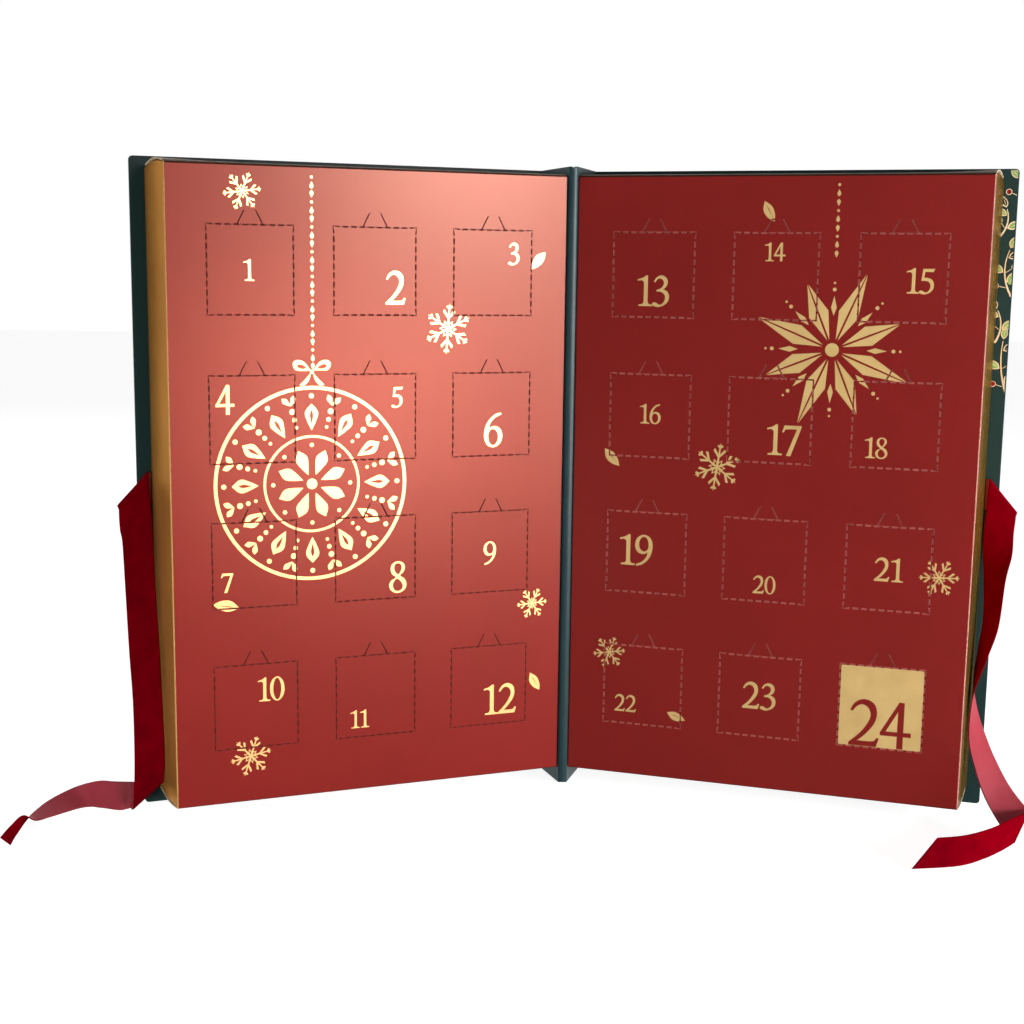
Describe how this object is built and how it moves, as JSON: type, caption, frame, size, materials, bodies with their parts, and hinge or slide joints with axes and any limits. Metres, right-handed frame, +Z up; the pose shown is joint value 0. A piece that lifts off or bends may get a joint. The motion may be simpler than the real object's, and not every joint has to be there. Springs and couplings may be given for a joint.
{
  "type": "book advent calendar",
  "caption": "Book-shaped advent calendar standing open: two hard covers with a creased spine, two card cartons of cells behind perforated doors, velvet tie ribbons.",
  "frame": {"origin": "on the table, on the bottom edge of the right half of the spine, 3 mm behind the crease axis", "axes": "+X to the right of a person who reads the doors, along the width of the open book; +Y away from that person, towards the covers' outsides; +Z up along the crease"},
  "size_m": [0.5312, 0.17, 0.3443],
  "materials": {
    "covering_paper": "satin",
    "carton_card": "satin",
    "door_card": "satin",
    "divider_card": "matte",
    "velvet_ribbon": "matte"
  },
  "bodies": {
    "right_half": {"right_cover_board": "covering_paper", "right_spine_board": "covering_paper", "right_carton": "carton_card", "right_divider_grid": "divider_card", "right_ribbon": "velvet_ribbon"},
    "left_half": {"left_cover_board": "covering_paper", "left_spine_board": "covering_paper", "left_carton": "carton_card", "left_divider_grid": "divider_card", "left_ribbon": "velvet_ribbon"},
    "door_01": {"door_01": "door_card"},
    "tab_01": {"tab_01": "door_card"},
    "door_02": {"door_02": "door_card"},
    "tab_02": {"tab_02": "door_card"},
    "door_03": {"door_03": "door_card"},
    "tab_03": {"tab_03": "door_card"},
    "door_04": {"door_04": "door_card"},
    "tab_04": {"tab_04": "door_card"},
    "door_05": {"door_05": "door_card"},
    "tab_05": {"tab_05": "door_card"},
    "door_06": {"door_06": "door_card"},
    "tab_06": {"tab_06": "door_card"},
    "door_07": {"door_07": "door_card"},
    "tab_07": {"tab_07": "door_card"},
    "door_08": {"door_08": "door_card"},
    "tab_08": {"tab_08": "door_card"},
    "door_09": {"door_09": "door_card"},
    "tab_09": {"tab_09": "door_card"},
    "door_10": {"door_10": "door_card"},
    "tab_10": {"tab_10": "door_card"},
    "door_11": {"door_11": "door_card"},
    "tab_11": {"tab_11": "door_card"},
    "door_12": {"door_12": "door_card"},
    "tab_12": {"tab_12": "door_card"},
    "door_13": {"door_13": "door_card"},
    "tab_13": {"tab_13": "door_card"},
    "door_14": {"door_14": "door_card"},
    "tab_14": {"tab_14": "door_card"},
    "door_15": {"door_15": "door_card"},
    "tab_15": {"tab_15": "door_card"},
    "door_16": {"door_16": "door_card"},
    "tab_16": {"tab_16": "door_card"},
    "door_17": {"door_17": "door_card"},
    "tab_17": {"tab_17": "door_card"},
    "door_18": {"door_18": "door_card"},
    "tab_18": {"tab_18": "door_card"},
    "door_19": {"door_19": "door_card"},
    "tab_19": {"tab_19": "door_card"},
    "door_20": {"door_20": "door_card"},
    "tab_20": {"tab_20": "door_card"},
    "door_21": {"door_21": "door_card"},
    "tab_21": {"tab_21": "door_card"},
    "door_22": {"door_22": "door_card"},
    "tab_22": {"tab_22": "door_card"},
    "door_23": {"door_23": "door_card"},
    "tab_23": {"tab_23": "door_card"},
    "door_24": {"door_24": "door_card"},
    "tab_24": {"tab_24": "door_card"}
  },
  "joints": [
    {"name": "spine_crease", "type": "hinge", "parent": "right_half", "child": "left_half", "pos_m": [-0.0022, -0.00242, 0.172], "axis": [0, 0, -1], "range_deg": [-142, 37], "deforming": ["left_ribbon", "right_ribbon"]},
    {"name": "tab_01_fold", "type": "hinge", "parent": "left_half", "child": "tab_01", "pos_m": [-0.16788, -0.05724, 0.3164], "axis": [0.9461, 0.3239, 0], "range_deg": [0, 80]},
    {"name": "door_01_fold", "type": "hinge", "parent": "left_half", "child": "door_01", "pos_m": [-0.16762, -0.05799, 0.2649], "axis": [0.9461, 0.3239, 0], "range_deg": [0, 150]},
    {"name": "tab_24_fold", "type": "hinge", "parent": "right_half", "child": "tab_24", "pos_m": [0.16347, -0.05724, 0.0901], "axis": [0.9461, -0.3239, 0], "range_deg": [0, 80]},
    {"name": "door_24_fold", "type": "hinge", "parent": "right_half", "child": "door_24", "pos_m": [0.16321, -0.05799, 0.0386], "axis": [0.9461, -0.3239, 0], "range_deg": [0, 150]},
    {"name": "tab_02_fold", "type": "hinge", "parent": "left_half", "child": "tab_02", "pos_m": [-0.10662, -0.03626, 0.3164], "axis": [0.9461, 0.3239, 0], "range_deg": [0, 80]},
    {"name": "door_02_fold", "type": "hinge", "parent": "left_half", "child": "door_02", "pos_m": [-0.10636, -0.03702, 0.2649], "axis": [0.9461, 0.3239, 0], "range_deg": [0, 150]},
    {"name": "tab_03_fold", "type": "hinge", "parent": "left_half", "child": "tab_03", "pos_m": [-0.04536, -0.01529, 0.3164], "axis": [0.9461, 0.3239, 0], "range_deg": [0, 80]},
    {"name": "door_03_fold", "type": "hinge", "parent": "left_half", "child": "door_03", "pos_m": [-0.0451, -0.01605, 0.2649], "axis": [0.9461, 0.3239, 0], "range_deg": [0, 150]},
    {"name": "tab_04_fold", "type": "hinge", "parent": "left_half", "child": "tab_04", "pos_m": [-0.16788, -0.05724, 0.24097], "axis": [0.9461, 0.3239, 0], "range_deg": [0, 80]},
    {"name": "door_04_fold", "type": "hinge", "parent": "left_half", "child": "door_04", "pos_m": [-0.16762, -0.05799, 0.18947], "axis": [0.9461, 0.3239, 0], "range_deg": [0, 150]},
    {"name": "tab_05_fold", "type": "hinge", "parent": "left_half", "child": "tab_05", "pos_m": [-0.10662, -0.03626, 0.24097], "axis": [0.9461, 0.3239, 0], "range_deg": [0, 80]},
    {"name": "door_05_fold", "type": "hinge", "parent": "left_half", "child": "door_05", "pos_m": [-0.10636, -0.03702, 0.18947], "axis": [0.9461, 0.3239, 0], "range_deg": [0, 150]},
    {"name": "tab_06_fold", "type": "hinge", "parent": "left_half", "child": "tab_06", "pos_m": [-0.04536, -0.01529, 0.24097], "axis": [0.9461, 0.3239, 0], "range_deg": [0, 80]},
    {"name": "door_06_fold", "type": "hinge", "parent": "left_half", "child": "door_06", "pos_m": [-0.0451, -0.01605, 0.18947], "axis": [0.9461, 0.3239, 0], "range_deg": [0, 150]},
    {"name": "tab_07_fold", "type": "hinge", "parent": "left_half", "child": "tab_07", "pos_m": [-0.16788, -0.05724, 0.16553], "axis": [0.9461, 0.3239, 0], "range_deg": [0, 80]},
    {"name": "door_07_fold", "type": "hinge", "parent": "left_half", "child": "door_07", "pos_m": [-0.16762, -0.05799, 0.11403], "axis": [0.9461, 0.3239, 0], "range_deg": [0, 150]},
    {"name": "tab_08_fold", "type": "hinge", "parent": "left_half", "child": "tab_08", "pos_m": [-0.10662, -0.03626, 0.16553], "axis": [0.9461, 0.3239, 0], "range_deg": [0, 80]},
    {"name": "door_08_fold", "type": "hinge", "parent": "left_half", "child": "door_08", "pos_m": [-0.10636, -0.03702, 0.11403], "axis": [0.9461, 0.3239, 0], "range_deg": [0, 150]},
    {"name": "tab_09_fold", "type": "hinge", "parent": "left_half", "child": "tab_09", "pos_m": [-0.04536, -0.01529, 0.16553], "axis": [0.9461, 0.3239, 0], "range_deg": [0, 80]},
    {"name": "door_09_fold", "type": "hinge", "parent": "left_half", "child": "door_09", "pos_m": [-0.0451, -0.01605, 0.11403], "axis": [0.9461, 0.3239, 0], "range_deg": [0, 150]},
    {"name": "tab_10_fold", "type": "hinge", "parent": "left_half", "child": "tab_10", "pos_m": [-0.16788, -0.05724, 0.0901], "axis": [0.9461, 0.3239, 0], "range_deg": [0, 80]},
    {"name": "door_10_fold", "type": "hinge", "parent": "left_half", "child": "door_10", "pos_m": [-0.16762, -0.05799, 0.0386], "axis": [0.9461, 0.3239, 0], "range_deg": [0, 150]},
    {"name": "tab_11_fold", "type": "hinge", "parent": "left_half", "child": "tab_11", "pos_m": [-0.10662, -0.03626, 0.0901], "axis": [0.9461, 0.3239, 0], "range_deg": [0, 80]},
    {"name": "door_11_fold", "type": "hinge", "parent": "left_half", "child": "door_11", "pos_m": [-0.10636, -0.03702, 0.0386], "axis": [0.9461, 0.3239, 0], "range_deg": [0, 150]},
    {"name": "tab_12_fold", "type": "hinge", "parent": "left_half", "child": "tab_12", "pos_m": [-0.04536, -0.01529, 0.0901], "axis": [0.9461, 0.3239, 0], "range_deg": [0, 80]},
    {"name": "door_12_fold", "type": "hinge", "parent": "left_half", "child": "door_12", "pos_m": [-0.0451, -0.01605, 0.0386], "axis": [0.9461, 0.3239, 0], "range_deg": [0, 150]},
    {"name": "tab_13_fold", "type": "hinge", "parent": "right_half", "child": "tab_13", "pos_m": [0.04096, -0.01529, 0.3164], "axis": [0.9461, -0.3239, 0], "range_deg": [0, 80]},
    {"name": "door_13_fold", "type": "hinge", "parent": "right_half", "child": "door_13", "pos_m": [0.0407, -0.01605, 0.2649], "axis": [0.9461, -0.3239, 0], "range_deg": [0, 150]},
    {"name": "tab_14_fold", "type": "hinge", "parent": "right_half", "child": "tab_14", "pos_m": [0.10221, -0.03626, 0.3164], "axis": [0.9461, -0.3239, 0], "range_deg": [0, 80]},
    {"name": "door_14_fold", "type": "hinge", "parent": "right_half", "child": "door_14", "pos_m": [0.10196, -0.03702, 0.2649], "axis": [0.9461, -0.3239, 0], "range_deg": [0, 150]},
    {"name": "tab_15_fold", "type": "hinge", "parent": "right_half", "child": "tab_15", "pos_m": [0.16347, -0.05724, 0.3164], "axis": [0.9461, -0.3239, 0], "range_deg": [0, 80]},
    {"name": "door_15_fold", "type": "hinge", "parent": "right_half", "child": "door_15", "pos_m": [0.16321, -0.05799, 0.2649], "axis": [0.9461, -0.3239, 0], "range_deg": [0, 150]},
    {"name": "tab_16_fold", "type": "hinge", "parent": "right_half", "child": "tab_16", "pos_m": [0.04096, -0.01529, 0.24097], "axis": [0.9461, -0.3239, 0], "range_deg": [0, 80]},
    {"name": "door_16_fold", "type": "hinge", "parent": "right_half", "child": "door_16", "pos_m": [0.0407, -0.01605, 0.18947], "axis": [0.9461, -0.3239, 0], "range_deg": [0, 150]},
    {"name": "tab_17_fold", "type": "hinge", "parent": "right_half", "child": "tab_17", "pos_m": [0.10221, -0.03626, 0.24097], "axis": [0.9461, -0.3239, 0], "range_deg": [0, 80]},
    {"name": "door_17_fold", "type": "hinge", "parent": "right_half", "child": "door_17", "pos_m": [0.10196, -0.03702, 0.18947], "axis": [0.9461, -0.3239, 0], "range_deg": [0, 150]},
    {"name": "tab_18_fold", "type": "hinge", "parent": "right_half", "child": "tab_18", "pos_m": [0.16347, -0.05724, 0.24097], "axis": [0.9461, -0.3239, 0], "range_deg": [0, 80]},
    {"name": "door_18_fold", "type": "hinge", "parent": "right_half", "child": "door_18", "pos_m": [0.16321, -0.05799, 0.18947], "axis": [0.9461, -0.3239, 0], "range_deg": [0, 150]},
    {"name": "tab_19_fold", "type": "hinge", "parent": "right_half", "child": "tab_19", "pos_m": [0.04096, -0.01529, 0.16553], "axis": [0.9461, -0.3239, 0], "range_deg": [0, 80]},
    {"name": "door_19_fold", "type": "hinge", "parent": "right_half", "child": "door_19", "pos_m": [0.0407, -0.01605, 0.11403], "axis": [0.9461, -0.3239, 0], "range_deg": [0, 150]},
    {"name": "tab_20_fold", "type": "hinge", "parent": "right_half", "child": "tab_20", "pos_m": [0.10221, -0.03626, 0.16553], "axis": [0.9461, -0.3239, 0], "range_deg": [0, 80]},
    {"name": "door_20_fold", "type": "hinge", "parent": "right_half", "child": "door_20", "pos_m": [0.10196, -0.03702, 0.11403], "axis": [0.9461, -0.3239, 0], "range_deg": [0, 150]},
    {"name": "tab_21_fold", "type": "hinge", "parent": "right_half", "child": "tab_21", "pos_m": [0.16347, -0.05724, 0.16553], "axis": [0.9461, -0.3239, 0], "range_deg": [0, 80]},
    {"name": "door_21_fold", "type": "hinge", "parent": "right_half", "child": "door_21", "pos_m": [0.16321, -0.05799, 0.11403], "axis": [0.9461, -0.3239, 0], "range_deg": [0, 150]},
    {"name": "tab_22_fold", "type": "hinge", "parent": "right_half", "child": "tab_22", "pos_m": [0.04096, -0.01529, 0.0901], "axis": [0.9461, -0.3239, 0], "range_deg": [0, 80]},
    {"name": "door_22_fold", "type": "hinge", "parent": "right_half", "child": "door_22", "pos_m": [0.0407, -0.01605, 0.0386], "axis": [0.9461, -0.3239, 0], "range_deg": [0, 150]},
    {"name": "tab_23_fold", "type": "hinge", "parent": "right_half", "child": "tab_23", "pos_m": [0.10221, -0.03626, 0.0901], "axis": [0.9461, -0.3239, 0], "range_deg": [0, 80]},
    {"name": "door_23_fold", "type": "hinge", "parent": "right_half", "child": "door_23", "pos_m": [0.10196, -0.03702, 0.0386], "axis": [0.9461, -0.3239, 0], "range_deg": [0, 150]}
  ]
}
